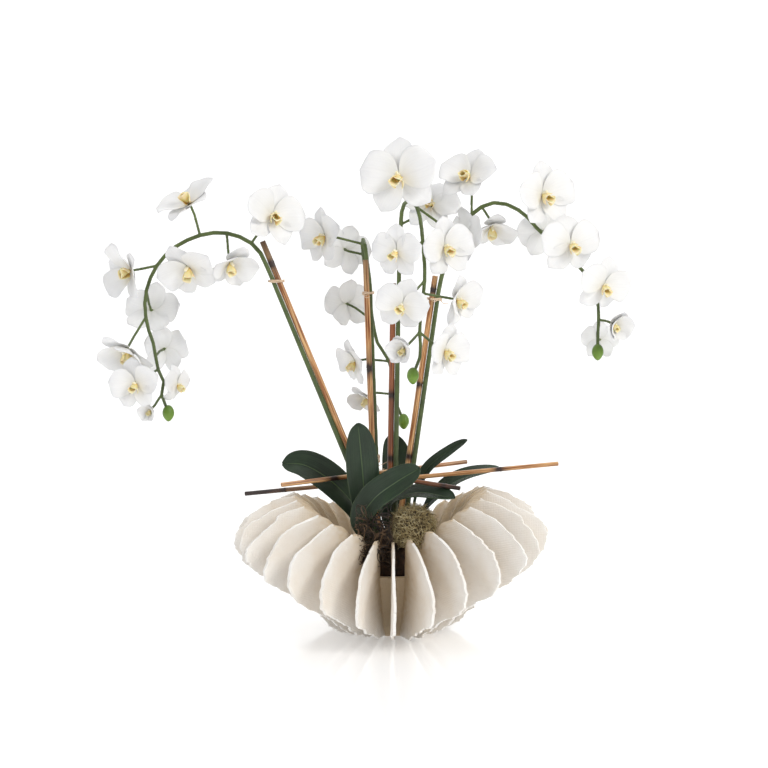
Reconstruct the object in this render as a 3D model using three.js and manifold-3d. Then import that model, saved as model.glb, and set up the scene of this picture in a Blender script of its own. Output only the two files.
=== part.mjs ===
// Potted moth orchid: four arching flower spikes tied to bamboo stakes, dark strap leaves,
// moss and aerial roots, standing in a wide bowl made of thin radiating fins.
// Millimetres, +Z up, origin at the centre of the bowl's foot, on the floor. The front is -Y.
import * as THREE from 'three';
import { mergeVertices } from 'three/addons/utils/BufferGeometryUtils.js';
import Module from 'manifold-3d';

// ---- driving dimensions ----
const plantWidth = 735; // over everything, from the petals at one side to those at the other
const plantHeight = 691; // floor to the top of the highest flower
const bowlWidth = 440; // across the two high ends of the bowl
const bowlHeight = 200; // floor to the tops of the end fins
const footDiameter = 98;
const finCount = 28;
const finThickness = 4.2;
const caneDiameter = 8; // upright stakes
const stickDiameter = 6.6; // cross sticks
const stemDiameter = 6.6; // flower spikes, where they leave the bed
const stemTipDiameter = 3.4;
const pedicelDiameter = 2.8;
const petalThickness = 1.6;
const flowerScale = 1; // every flower diameter below is multiplied by this
const leafThickness = 1.8;
const mossDiameter = 64;
const gap = 0.45; // air left between separate pieces

const wasm = await Module();
wasm.setup();
const group = new THREE.Group();

// The plant was set out at 735 wide and 691 high: a place in that set-out, at today's size.
const across = plantWidth / 735;
const upward = plantHeight / 691;
const bedTop = 142 * (bowlHeight / 200);
const place = (p) =>
  new THREE.Vector3(p[0] * across, p[1] * across, bedTop + (p[2] - 142) * upward);

function toSolid(geometry) {
  const bare = geometry.clone();
  bare.deleteAttribute('normal');
  bare.deleteAttribute('uv');
  const merged = mergeVertices(bare, 1e-4);
  return new wasm.Manifold(
    new wasm.Mesh({
      numProp: 3,
      vertProperties: new Float32Array(merged.attributes.position.array),
      triVerts: new Uint32Array(merged.index.array),
    }),
  );
}

function toGeometry(solid) {
  const made = solid.getMesh();
  const geometry = new THREE.BufferGeometry();
  geometry.setAttribute('position', new THREE.BufferAttribute(made.vertProperties, 3));
  geometry.setIndex(new THREE.BufferAttribute(made.triVerts, 1));
  geometry.computeVertexNormals();
  return geometry;
}

function unite(geometries) {
  let whole = toSolid(geometries[0]);
  for (const geometry of geometries.slice(1)) {
    whole = whole.add(toSolid(geometry));
  }
  return whole;
}

function addPiece(name, geometry, colour, roughness) {
  const material = new THREE.MeshStandardMaterial({ color: colour, roughness });
  const mesh = new THREE.Mesh(geometry, material);
  mesh.name = name;
  group.add(mesh);
}

// A round bar bent along a curve; radiusAt(t) gives its radius from foot (0) to tip (1).
function bentBar(curve, radiusAt, sides, steps) {
  const bar = new THREE.CylinderGeometry(1, 1, 1, sides, steps);
  const frames = curve.computeFrenetFrames(steps, false);
  const position = bar.attributes.position;
  for (let i = 0; i < position.count; i += 1) {
    const t = position.getY(i) + 0.5;
    const step = Math.round(t * steps);
    const point = curve.getPointAt(t);
    const radius = radiusAt(t);
    point.addScaledVector(frames.normals[step], position.getX(i) * radius);
    point.addScaledVector(frames.binormals[step], -position.getZ(i) * radius);
    position.setXYZ(i, point.x, point.y, point.z);
  }
  return bar;
}

// ---- bamboo canes: straight, with swollen nodes ----
const caneRadius = caneDiameter / 2;
function cane(foot, tip, nodes, radius) {
  const profile = [new THREE.Vector2(0, 0), new THREE.Vector2(radius * 0.92, 0)];
  const length = foot.distanceTo(tip);
  for (const node of nodes) {
    const height = node * length;
    profile.push(new THREE.Vector2(radius * 0.94, height - 7));
    profile.push(new THREE.Vector2(radius, height - 1.5));
    profile.push(new THREE.Vector2(radius * 0.93, height + 3));
  }
  profile.push(new THREE.Vector2(radius * 0.88, length));
  profile.push(new THREE.Vector2(0, length));
  const bar = new THREE.LatheGeometry(profile, 8);
  const direction = tip.clone().sub(foot).normalize();
  const turn = new THREE.Quaternion().setFromUnitVectors(new THREE.Vector3(0, 1, 0), direction);
  bar.applyQuaternion(turn);
  bar.translate(foot.x, foot.y, foot.z);
  return bar;
}

const stakes = {
  left: { foot: [-2, -16, 118], tip: [-178, -16, 548], nodes: [0.32, 0.93] },
  back: { foot: [-22, 40, 118], tip: [-36, 40, 520], nodes: [0.28, 0.62] },
  front: { foot: [-3, 2, 118], tip: [3, 2, 489], nodes: [0.34, 0.58] },
  right: { foot: [8, 26, 118], tip: [62, 26, 498], nodes: [0.33, 0.6, 0.95] },
};
for (const stake of Object.values(stakes)) {
  stake.from = place(stake.foot);
  stake.to = place(stake.tip);
  stake.at = (height) => {
    const z = bedTop + (height - 142) * upward;
    const t = (z - stake.from.z) / (stake.to.z - stake.from.z);
    return stake.from.clone().lerp(stake.to, t);
  };
}
const sticks = {
  long: { foot: [-210, 66, 182], tip: [231, -45, 242], nodes: [0.13, 0.82] },
  back: { foot: [-153, -30, 210], tip: [109, 70, 228], nodes: [0.28, 0.62] },
  short: { foot: [-10, -26, 222], tip: [95, -55, 209], nodes: [0.8] },
};

// ---- flower spikes ----
// Each spike runs up beside its stake (beside gives the side it lies on), is tied to it at
// tieHeight, and then arches over through the listed places to a hanging bud.
const spikes = {
  left: {
    beside: [-0.95, -0.31],
    tieHeight: 497,
    arch: [
      [-187, -16, 540], [-221, -16, 558], [-257, -18, 558], [-300, -22, 539], [-326, -26, 510],
      [-339, -30, 473], [-337, -34, 436], [-327, -36, 404], [-323, -38, 376], [-314, -40, 356],
      [-317, -40, 337], [-311, -40, 320],
    ],
  },
  back: {
    beside: [0.58, 0.82],
    tieHeight: 477,
    arch: [
      [-34, 50, 516], [-38, 60, 545], [-41, 80, 545], [-36, 95, 496], [-26, 100, 428],
      [-19, 100, 396], [-4, 100, 374], [4, 98, 341], [9, 95, 307], [15, 94, 292],
    ],
  },
  front: {
    beside: [0.92, -0.39],
    tieHeight: 470,
    arch: [
      [13, -6, 566], [16, -20, 596], [27, -50, 605], [36, -75, 592], [40, -85, 572],
      [43, -92, 539], [45, -95, 504], [42, -98, 472], [38, -100, 432], [39, -100, 398],
      [32, -100, 378],
    ],
  },
  right: {
    beside: [0.93, -0.37],
    tieHeight: 470,
    arch: [
      [73, 14, 507], [89, 4, 556], [109, 0, 582], [133, -4, 599], [155, -8, 600],
      [183, -12, 586], [204, -16, 563], [240, -22, 532], [262, -26, 510], [279, -30, 486],
      [285, -32, 461], [286, -33, 442], [285, -34, 422], [285, -34, 405],
    ],
  },
};

// Flowers, spike by spike: middle of the flower, diameter, the way it looks (turn: degrees to
// the right of straight ahead; tilt: degrees upward; roll: round its own middle) and the place
// on the arch, counted in listed points, where its stalk leaves the stem.
const flowers = {
  left: [
    { at: [-163, -36, 584], size: 96, turn: 30, tilt: 15, roll: -14, from: 0 },
    { at: [-220, -42, 520], size: 84, turn: 25, tilt: -40, roll: -10, from: 1 },
    { at: [-278, -20, 600], size: 96, turn: -51, tilt: 53, roll: 57, from: 2 },
    { at: [-278, -52, 514], size: 92, turn: -10, tilt: -38, roll: 28, from: 3 },
    { at: [-360, -32, 508], size: 94, turn: -55, tilt: -5, roll: 75, from: 4 },
    { at: [-336, 14, 450], size: 86, turn: 172, tilt: -28, roll: 10, from: 5 },
    { at: [-362, -56, 402], size: 92, turn: -30, tilt: -48, roll: 14, from: 6 },
    { at: [-318, 12, 396], size: 78, turn: 155, tilt: 0, roll: 0, from: 7.3 },
    { at: [-349, -68, 356], size: 78, turn: -15, tilt: -5, roll: 12, from: 8 },
    { at: [-297, -26, 350], size: 60, turn: 66, tilt: -8, roll: 0, from: 9 },
    { at: [-331, -56, 318], size: 42, turn: -20, tilt: -14, roll: 0, from: 10 },
  ],
  back: [
    { at: [-94, 60, 553], size: 88, turn: -50, tilt: 0, roll: 10, from: 2 },
    { at: [-66, 108, 532], size: 78, turn: 170, tilt: 5, roll: 20, from: 2.5 },
    { at: [-64, 122, 452], size: 80, turn: -150, tilt: -5, roll: 0, from: 4 },
    { at: [-52, 108, 370], size: 76, turn: -60, tilt: -20, roll: 0, from: 6 },
    { at: [-36, 104, 318], size: 62, turn: -40, tilt: -40, roll: 10, from: 7.5 },
  ],
  front: [
    { at: [10, -90, 638], size: 114, turn: -15, tilt: 5, roll: 12, from: 1.6 },
    { at: [7, -118, 538], size: 78, turn: -28, tilt: -4, roll: 0, from: 4.7 },
    { at: [14, -124, 467], size: 78, turn: -10, tilt: -5, roll: -10, from: 6.3 },
    { at: [17, -118, 409], size: 58, turn: -25, tilt: -10, roll: 0, from: 8.3 },
    { at: [56, -18, 598], size: 84, turn: -10, tilt: 35, roll: -10, from: 0 },
    { at: [98, -38, 556], size: 84, turn: 120, tilt: 0, roll: 0, from: 3 },
    { at: [88, -88, 472], size: 78, turn: 48, tilt: -5, roll: 14, from: 6.6 },
    { at: [72, -100, 404], size: 82, turn: 45, tilt: -5, roll: 0, from: 8 },
  ],
  right: [
    { at: [72, -84, 543], size: 88, turn: 28, tilt: 0, roll: 12, from: 0.4 },
    { at: [106, -50, 637], size: 90, turn: -30, tilt: 35, roll: 0, from: 2.3 },
    { at: [140, 4, 568], size: 80, turn: 10, tilt: -50, roll: 0, from: 3 },
    { at: [206, -50, 613], size: 98, turn: 30, tilt: 5, roll: 8, from: 5 },
    { at: [214, 34, 560], size: 80, turn: 170, tilt: 0, roll: -12, from: 6 },
    { at: [244, -62, 546], size: 92, turn: 20, tilt: 0, roll: 6, from: 7 },
    { at: [289, -64, 490], size: 84, turn: 25, tilt: -10, roll: -8, from: 9.3 },
    { at: [303, -58, 437], size: 62, turn: 35, tilt: -15, roll: 0, from: 11 },
    { at: [292, 4, 410], size: 58, turn: 160, tilt: 0, roll: 0, from: 12.3 },
  ],
};

// A five-lobed flower outline: distance from the middle at an angle, for a flower of radius 1.
const petals = [
  { angle: 90, half: 36, reach: 0.95 }, // top sepal
  { angle: 18, half: 48, reach: 1 }, // broad side petals
  { angle: 162, half: 48, reach: 1 },
  { angle: 234, half: 36, reach: 0.94 }, // lower sepals
  { angle: 306, half: 36, reach: 0.94 },
];
function flowerEdge(angle) {
  let reach = 0.4;
  for (const petal of petals) {
    const away = Math.abs(((angle - petal.angle + 540) % 360) - 180) / petal.half;
    if (away < 1) {
      reach = Math.max(reach, petal.reach * Math.pow(Math.cos((away * Math.PI) / 2), 0.42));
    }
  }
  return reach;
}

// Lathed disc, its rim drawn out into the lobes, with the lip standing up in the middle.
function flowerGeometry(size) {
  const radius = (size * flowerScale) / 2;
  const profile = [
    new THREE.Vector2(0, -petalThickness * 1.6),
    new THREE.Vector2(1, -petalThickness / 2),
    new THREE.Vector2(1, petalThickness / 2),
    new THREE.Vector2(0.26, petalThickness / 2),
    new THREE.Vector2(0, radius * 0.26),
  ];
  const disc = new THREE.LatheGeometry(profile, 25);
  const position = disc.attributes.position;
  for (let i = 0; i < position.count; i += 1) {
    const out = Math.hypot(position.getX(i), position.getZ(i));
    const angle = Math.atan2(-position.getZ(i), position.getX(i));
    const degrees = (angle * 180) / Math.PI + 90;
    const rim = out > 0.9 ? flowerEdge((degrees + 720) % 360) : 0.26;
    const reach = out < 0.01 ? 0 : rim * radius;
    const bow = out > 0.9 ? (rim * rim - 0.3) * radius * 0.13 : 0;
    const turned = (degrees * Math.PI) / 180;
    position.setXYZ(i, reach * Math.cos(turned), reach * Math.sin(turned), position.getY(i) + bow);
  }
  return disc;
}

function facing(flower) {
  const turn = (flower.turn * Math.PI) / 180;
  const tilt = (flower.tilt * Math.PI) / 180;
  const look = new THREE.Vector3(
    Math.sin(turn) * Math.cos(tilt),
    -Math.cos(turn) * Math.cos(tilt),
    Math.sin(tilt),
  );
  const side = new THREE.Vector3(Math.cos(turn), Math.sin(turn), 0);
  const top = look.clone().cross(side);
  const roll = (flower.roll * Math.PI) / 180;
  const matrix = new THREE.Matrix4().makeBasis(side, top, look);
  matrix.multiply(new THREE.Matrix4().makeRotationZ(roll));
  return { look, matrix };
}

function flowerBud(end, previous) {
  const bud = new THREE.SphereGeometry(1, 8, 7);
  bud.rotateX(Math.PI / 2);
  bud.scale(8, 8, 11);
  const down = end.clone().sub(previous).normalize();
  bud.applyQuaternion(new THREE.Quaternion().setFromUnitVectors(new THREE.Vector3(0, 0, -1), down));
  const middle = end.clone().addScaledVector(down, 9);
  bud.translate(middle.x, middle.y, middle.z);
  return bud;
}

// The point of a bent bar's own centre line that lies nearest to a wanted place.
function nearestRing(curve, rings, wanted) {
  let best = curve.getPointAt(0);
  for (let i = 1; i <= rings; i += 1) {
    const point = curve.getPointAt(i / rings);
    if (point.distanceTo(wanted) < best.distanceTo(wanted)) {
      best = point;
    }
  }
  return best;
}

const sockets = []; // what the bed is hollowed for
for (const [name, spike] of Object.entries(spikes)) {
  const stake = stakes[name];
  const spacing = caneRadius + stemDiameter / 2 + 1;
  const offset = new THREE.Vector3(spike.beside[0] * spacing, spike.beside[1] * spacing, 0);
  const run = [];
  for (const height of [120, 200, 290, 385, spike.tieHeight - 12, spike.tieHeight + 6]) {
    run.push(stake.at(height).add(offset));
  }
  spike.tieAt = stake.at(spike.tieHeight).add(offset);
  const points = run.concat(spike.arch.map(place));
  const curve = new THREE.CatmullRomCurve3(points, false, 'centripetal');
  const slim = (t) => (stemDiameter + (stemTipDiameter - stemDiameter) * t) / 2;
  const rings = 44;
  const parts = [bentBar(curve, slim, 6, rings)];
  const last = points.length - 1;
  parts.push(flowerBud(points[last], points[last - 1]));
  let number = 0;
  for (const flower of flowers[name]) {
    number += 1;
    const { look, matrix } = facing(flower);
    const middle = place(flower.at);
    const bloom = flowerGeometry(flower.size);
    bloom.applyMatrix4(matrix);
    bloom.translate(middle.x, middle.y, middle.z);
    const label = String(number).padStart(2, '0');
    addPiece(`flower_${name}_${label}`, toGeometry(toSolid(bloom)), '#f6f5f1', 0.6);
    const start = nearestRing(curve, rings, curve.getPoint((run.length + flower.from) / last));
    const end = middle.clone().addScaledVector(look, -petalThickness * 1.6 - gap);
    const reach = start.distanceTo(end);
    const leave = start.clone().lerp(end, 0.3);
    const arrive = end.clone().addScaledVector(look, -Math.min(12, reach * 0.45));
    const stalk = new THREE.CubicBezierCurve3(start, leave, arrive, end);
    parts.push(bentBar(stalk, () => pedicelDiameter / 2, 5, 3));
  }
  addPiece(`spike_${name}`, toGeometry(unite(parts)), '#4c5a2a', 0.6);
  const foot = new THREE.LineCurve3(run[0].clone().add(new THREE.Vector3(0, 0, -gap)), run[1]);
  sockets.push(bentBar(foot, () => stemDiameter / 2 + gap, 8, 1));
}

for (const [name, stake] of Object.entries(stakes)) {
  addPiece(`stake_${name}`, cane(stake.from, stake.to, stake.nodes, caneRadius), '#b9793f', 0.55);
  const low = stake.from.clone().add(new THREE.Vector3(0, 0, -gap));
  sockets.push(bentBar(new THREE.LineCurve3(low, stake.at(210)), () => caneRadius + gap, 8, 1));
}
for (const [name, stick] of Object.entries(sticks)) {
  const bar = cane(place(stick.foot), place(stick.tip), stick.nodes, stickDiameter / 2);
  addPiece(`cross_stick_${name}`, bar, '#a9683a', 0.55);
}

// ---- raffia ties: a flat ring round a stake and the stem beside it ----
function ringAround(spike, stake, height, name, tall) {
  const middle = stake.at(height);
  const away = new THREE.Vector2(spike.beside[0], spike.beside[1]);
  const spacing = caneRadius + stemDiameter / 2 + 1;
  const heading = Math.atan2(away.y, away.x);
  const outline = (grow) => {
    const points = [];
    for (let i = 0; i <= 6; i += 1) {
      const angle = heading + Math.PI / 2 + (i / 6) * Math.PI;
      const r = caneRadius + grow;
      points.push(new THREE.Vector2(r * Math.cos(angle), r * Math.sin(angle)));
    }
    for (let i = 0; i <= 6; i += 1) {
      const angle = heading - Math.PI / 2 + (i / 6) * Math.PI;
      const r = caneRadius + grow - 0.8;
      const x = away.x * spacing + r * Math.cos(angle);
      const y = away.y * spacing + r * Math.sin(angle);
      points.push(new THREE.Vector2(x, y));
    }
    return points;
  };
  const shape = new THREE.Shape(outline(3.4));
  shape.holes.push(new THREE.Path(outline(1.1)));
  const ring = new THREE.ExtrudeGeometry(shape, { depth: tall, bevelEnabled: false, steps: 1 });
  ring.translate(0, 0, -tall / 2);
  const lean = stake.to.clone().sub(stake.from);
  ring.applyMatrix4(new THREE.Matrix4().makeShear(0, 0, 0, 0, lean.x / lean.z, lean.y / lean.z));
  ring.translate(middle.x, middle.y, middle.z);
  addPiece(name, ring, '#d9bd9c', 0.85);
}
for (const name of Object.keys(spikes)) {
  ringAround(spikes[name], stakes[name], spikes[name].tieHeight - 4, `raffia_tie_${name}`, 4);
}
ringAround(spikes.back, stakes.back, 236, 'twine_lashing', 12);

// ---- leaves: straps with a folded midrib ----
const leaves = {
  upright: {
    spine: [[-34, -32, 128], [-37, -36, 190], [-41, -43, 245], [-46, -50, 300]],
    width: 46, face: [0.1, -1, 0.15], slim: 0,
  },
  left: {
    spine: [[-38, 4, 126], [-48, 8, 168], [-82, 15, 206], [-122, 21, 230], [-155, 22, 232]],
    width: 46, face: [0, -0.85, 0.5], slim: 0,
  },
  arching: {
    spine: [[-24, -43, 126], [-40, -60, 164], [-24, -70, 196], [6, -75, 220], [40, -78, 241]],
    width: 44, face: [-0.35, -0.85, 0.45], slim: 0,
  },
  low_right: {
    spine: [[-4, -21, 130], [-3, -18, 176], [34, -38, 200], [88, -64, 196]],
    width: 36, face: [0.1, -0.45, 0.85], slim: 0.1,
  },
  far_right: {
    spine: [[40, 20, 126], [48, 20, 168], [92, 24, 206], [156, 22, 226]],
    width: 38, face: [-0.2, -0.3, 0.9], slim: 0.22,
  },
  narrow: {
    spine: [[26, 6, 126], [36, 18, 190], [52, 22, 226], [84, 12, 254], [107, 0, 270]],
    width: 17, face: [-0.4, -0.9, 0.3], slim: 0.35,
  },
  rear: {
    spine: [[4, 44, 126], [9, 54, 190], [8, 66, 235], [0, 72, 268]],
    width: 44, face: [0, -1, 0.2], slim: 0,
  },
};
function leafGeometry(leaf, extra) {
  const curve = new THREE.CatmullRomCurve3(leaf.spine.map(place), false, 'centripetal');
  const strap = new THREE.BoxGeometry(1, 1, 1, 2, 1, 9);
  const position = strap.attributes.position;
  const face = new THREE.Vector3(...leaf.face).normalize();
  for (let i = 0; i < position.count; i += 1) {
    const t = position.getZ(i) + 0.5;
    const s = position.getX(i) * 2;
    const open = Math.min(1, Math.max(0, t - leaf.slim) / (0.6 - leaf.slim));
    const neck = 0.2 + 0.8 * Math.sin((open * Math.PI) / 2);
    const tip = Math.sqrt(1.02 - Math.pow(Math.max(0, t - 0.6) / 0.4, 2.6));
    const half = (leaf.width / 2) * neck * tip + extra;
    const tangent = curve.getTangentAt(t);
    const side = face.clone().cross(tangent).normalize();
    const normal = tangent.clone().cross(side);
    const thick = leafThickness * (1 - 0.45 * Math.abs(s)) + 2 * extra;
    const point = curve.getPointAt(t);
    point.addScaledVector(side, s * half);
    point.addScaledVector(normal, 0.24 * Math.abs(s) * half + position.getY(i) * thick);
    if (t === 0) {
      point.addScaledVector(tangent, -extra);
    }
    position.setXYZ(i, point.x, point.y, point.z);
  }
  return strap;
}
for (const [name, leaf] of Object.entries(leaves)) {
  addPiece(`leaf_${name}`, leafGeometry(leaf, 0), '#22382b', 0.45);
  sockets.push(leafGeometry(leaf, gap));
}

// ---- bowl: radiating fins on a small central cup, cast in one piece ----
// Outlines of the fins as distance out and height, from the foot round to the cup again.
const endFin = [
  [48, 0], [81, 8], [111, 33], [135, 60], [171, 85], [203, 105], [219, 124], [219, 143],
  [204, 162], [186, 175], [160, 189], [136, 196], [112, 180], [90, 140], [74.5, 88], [63, 45], [50, 12],
];
const frontFin = [
  [48, 0], [84, 3], [112, 11], [140, 20], [166, 28], [190, 37], [195, 50], [195, 68],
  [186, 88], [168, 106], [138, 122], [104, 132], [90, 137], [77, 134], [74.5, 88], [63, 45], [50, 12],
];
const wide = bowlWidth / 440;
const high = bowlHeight / 200;
function finGeometry(number, room) {
  const turn = (number / finCount) * 2 * Math.PI + 0.02;
  const heading = turn + 0.06 * Math.sin(2 * turn) - Math.PI / 2; // set closer at the two ends
  const share = Math.pow(Math.abs(Math.cos(heading)), 1.5);
  const points = endFin.map((end, i) => {
    const front = frontFin[i];
    const free = i > 1 && i < 14 ? 1 : 0; // the edge that hangs free is a little uneven
    const wave = free * (2.2 * Math.sin(number * 2.3 + i * 1.7) + 1.6 * Math.sin(number * 5.1));
    const out = front[0] + (end[0] - front[0]) * share + wave;
    const lift = 1 + 0.03 * Math.cos(heading); // the right end stands a little higher
    const up = front[1] + (end[1] * lift - front[1]) * share + wave * 0.6;
    const scale = i > 0 && i < 14 ? wide : footDiameter / 98;
    return new THREE.Vector2(out * scale - (i > 10 ? room : 0), up * high + (i > 10 ? room : 0));
  });
  const depth = finThickness + 2 * room;
  const fin = new THREE.ExtrudeGeometry(new THREE.Shape(points), {
    depth, bevelEnabled: false, steps: 1,
  });
  fin.translate(0, 0, -depth / 2);
  fin.rotateX(Math.PI / 2);
  fin.rotateZ(heading);
  return fin;
}
const footShare = footDiameter / 98;
const cupProfile = [
  [0, 0], [49, 0], [57, 20], [67, 50], [78, 88], [72, 88], [60, 50], [50, 18], [0, 18],
];
const cup = new THREE.LatheGeometry(
  cupProfile.map((p) => new THREE.Vector2(p[0] * footShare, p[1] * high)), 28,
);
cup.rotateX(Math.PI / 2);
const bowlParts = [cup];
const finRooms = []; // each fin with a little air round it
for (let i = 0; i < finCount; i += 1) {
  bowlParts.push(finGeometry(i, 0));
  finRooms.push(finGeometry(i, gap));
}
addPiece('fin_bowl', toGeometry(unite(bowlParts)), '#ece4d8', 0.8);

// ---- growing bed, hollowed for every foot that stands in it ----
const bedProfile = [
  [0, 18.5], [48.5, 18.5], [59, 50], [70.5, 86], [71, 102], [62, 122], [40, 136], [0, 142],
];
const bed = new THREE.LatheGeometry(
  bedProfile.map((p) => new THREE.Vector2(p[0] * footShare, p[1] * high)), 20,
);
bed.rotateX(Math.PI / 2);

// ---- moss ball and aerial roots, resting on the bed and pressed in beside what they meet ----
const inBowl = (p) => new THREE.Vector3(p[0] * footShare, p[1] * footShare, p[2] * high);
const mossMiddle = inBowl([31, -57, 155]);
function mossGeometry(extra) {
  const ball = new THREE.SphereGeometry(mossDiameter / 2 + extra, 14, 9);
  ball.rotateX(Math.PI / 2);
  ball.translate(mossMiddle.x, mossMiddle.y, mossMiddle.z);
  return ball;
}

const rootRuns = [
  [[-42, -66, 126], [-26, -80, 152], [-14, -86, 138], [-24, -72, 118]],
  [[-48, -64, 126], [-38, -78, 154], [-20, -82, 168], [-8, -84, 144]],
  [[-12, -66, 128], [-22, -84, 144], [-40, -74, 146], [-44, -60, 122]],
  [[-22, -78, 124], [-10, -80, 154], [-14, -82, 172], [-6, -82, 156], [-8, -74, 130]],
  [[-34, -74, 138], [-30, -90, 156], [-16, -92, 168], [-6, -84, 150]],
];
const rootParts = rootRuns.map((run) => {
  const curve = new THREE.CatmullRomCurve3(run.map(inBowl), false, 'centripetal');
  return bentBar(curve, () => 2.4, 5, 8);
});
const knot = new THREE.SphereGeometry(13, 8, 6);
knot.scale(1.2, 1, 0.8);
const knotMiddle = inBowl([-25, -74, 136]);
knot.translate(knotMiddle.x, knotMiddle.y, knotMiddle.z);
let roots = unite([knot, ...rootParts]);
let moss = toSolid(mossGeometry(0));
let bedSolid = toSolid(bed);
for (const socket of sockets) {
  const hollow = toSolid(socket);
  roots = roots.subtract(hollow);
  bedSolid = bedSolid.subtract(hollow);
  moss = moss.subtract(hollow);
}
for (const room of finRooms) {
  const hollow = toSolid(room);
  moss = moss.subtract(hollow);
  roots = roots.subtract(hollow);
}
const mossHollow = toSolid(mossGeometry(gap));
bedSolid = bedSolid.subtract(mossHollow);
roots = roots.subtract(mossHollow).subtract(bedSolid);
addPiece('growing_bed', toGeometry(bedSolid), '#3b2a1c', 0.95);
addPiece('moss_ball', toGeometry(moss), '#8c7a50', 0.95);
addPiece('aerial_roots', toGeometry(roots), '#2a1f18', 0.8);

export default group;
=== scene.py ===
# %% [markdown]
# # A moth orchid in a finned bowl
# Four sprays of white flowers are tied to bamboo stakes. They stand with their strap leaves in
# a wide cast bowl of thin fins. The CAD model gives every place and size in metres. Each step
# below swaps one plain CAD solid for the finished piece, or gives it its finish.

# %% Load the fixed frame
import bpy
import math
import random
import numpy as np
from mathutils import Matrix, Vector, noise


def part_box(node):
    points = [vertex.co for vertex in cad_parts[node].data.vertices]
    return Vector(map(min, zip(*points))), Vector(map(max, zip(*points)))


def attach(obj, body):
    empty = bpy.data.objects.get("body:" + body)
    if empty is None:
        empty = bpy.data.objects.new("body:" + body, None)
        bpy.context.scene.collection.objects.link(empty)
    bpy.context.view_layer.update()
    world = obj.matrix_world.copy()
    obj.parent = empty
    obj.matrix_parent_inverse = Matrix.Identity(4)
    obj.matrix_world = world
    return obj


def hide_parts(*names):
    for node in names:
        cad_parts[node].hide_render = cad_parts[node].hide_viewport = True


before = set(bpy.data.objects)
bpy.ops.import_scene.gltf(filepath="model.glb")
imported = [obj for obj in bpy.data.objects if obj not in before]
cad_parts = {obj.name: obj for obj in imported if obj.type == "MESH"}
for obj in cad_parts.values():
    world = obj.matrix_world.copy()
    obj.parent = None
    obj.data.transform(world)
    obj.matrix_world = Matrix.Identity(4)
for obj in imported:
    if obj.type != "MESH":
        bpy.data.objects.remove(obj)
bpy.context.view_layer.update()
MM = 0.001
print("nodes in the frame:", len(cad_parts))

# %% [markdown]
# Small helpers come first. An operator acts on all that is selected, so each one starts from a
# clean selection. A finished piece sits at the origin with its place in its mesh.

# %% Helpers for objects
def pick(obj):
    bpy.ops.object.select_all(action="DESELECT")
    obj.select_set(True)
    bpy.context.view_layer.objects.active = obj
    return obj


def settle(obj, name, material, slot, *nodes):
    pick(obj)
    bpy.ops.object.transform_apply(location=True, rotation=True, scale=True)
    obj.name = name
    obj.data.name = name
    if material is not None:
        obj.data.materials.clear()
        obj.data.materials.append(material)
    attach(obj, "root")
    if nodes:
        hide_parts(*nodes)
    return obj


def apply_modifier(obj, kind, **settings):
    pick(obj)
    modifier = obj.modifiers.new(kind.title(), kind)
    for key, value in settings.items():
        setattr(modifier, key, value)
    bpy.ops.object.modifier_apply(modifier=modifier.name)


def join(objects):
    bpy.ops.object.select_all(action="DESELECT")
    for obj in objects:
        obj.select_set(True)
    bpy.context.view_layer.objects.active = objects[0]
    bpy.ops.object.join()
    return objects[0]


def smooth(obj, angle=50):
    pick(obj)
    bpy.ops.object.shade_smooth_by_angle(angle=math.radians(angle))


def corners(node):
    """The node's different corner points, from its loose CAD triangles."""
    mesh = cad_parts[node].data
    points = np.array([v.co for v in mesh.vertices])
    return np.unique(np.round(points, 6), axis=0)


# %% [markdown]
# Colours are written as sRGB hex values. One function turns them into the linear values that
# the shader works in, and one adds a node with its settings and links.

# %% Helpers for materials
def linear(code):
    values = [int(code[i:i + 2], 16) / 255 for i in (1, 3, 5)]
    return [v / 12.92 if v <= 0.04045 else ((v + 0.055) / 1.055) ** 2.4 for v in values] + [1.0]


def add(tree, kind, inputs=None, **settings):
    made = tree.nodes.new(kind)
    for key, value in settings.items():
        setattr(made, key, value)
    for key, value in (inputs or {}).items():
        if isinstance(value, bpy.types.NodeSocket):
            tree.links.new(value, made.inputs[key])
        else:
            made.inputs[key].default_value = value
    return made


def ramp(tree, factor, stops):
    made = add(tree, "ShaderNodeValToRGB", {"Fac": factor})
    elements = made.color_ramp.elements
    while len(elements) < len(stops):
        elements.new(0.5)
    for element, (place, code) in zip(elements, stops):
        element.position = place
        element.color = linear(code)
    return made.outputs["Color"]


def new_material(name, **sockets):
    material = bpy.data.materials.new(name)
    material.use_nodes = True
    tree = material.node_tree
    shader = tree.nodes["Principled BSDF"]
    for key, value in sockets.items():
        shader.inputs[key.replace("_", " ")].default_value = value
    return material, tree, shader


def wire(tree, shader, colour, height=None, distance=0.001, strength=1.0):
    tree.links.new(colour, shader.inputs["Base Color"])
    if height is not None:
        bump = add(tree, "ShaderNodeBump", {"Height": height, "Distance": distance, "Strength": strength})
        tree.links.new(bump.outputs["Normal"], shader.inputs["Normal"])


def mix(tree, factor, a, b):
    made = add(tree, "ShaderNodeMix", data_type="RGBA")
    for index, value in ((0, factor), (6, a), (7, b)):
        if isinstance(value, bpy.types.NodeSocket):
            tree.links.new(value, made.inputs[index])
        else:
            made.inputs[index].default_value = linear(value) if isinstance(value, str) else value
    return made.outputs[2]


def calc(tree, operation, a, b=0.5, clamp=False):
    made = add(tree, "ShaderNodeMath", {0: a, 1: b}, operation=operation, use_clamp=clamp)
    return made.outputs[0]


def object_coords(tree):
    return add(tree, "ShaderNodeTexCoord").outputs["Object"]


def own_uv(tree):
    return add(tree, "ShaderNodeUVMap", uv_map="UVMap").outputs[0]


def speckle(tree, coords, scale, detail=2.0):
    """Cloudy noise from 0 to 1 with about scale blobs in a metre."""
    settings = {"Vector": coords, "Scale": scale, "Detail": detail}
    return add(tree, "ShaderNodeTexNoise", settings).outputs["Fac"]


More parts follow.
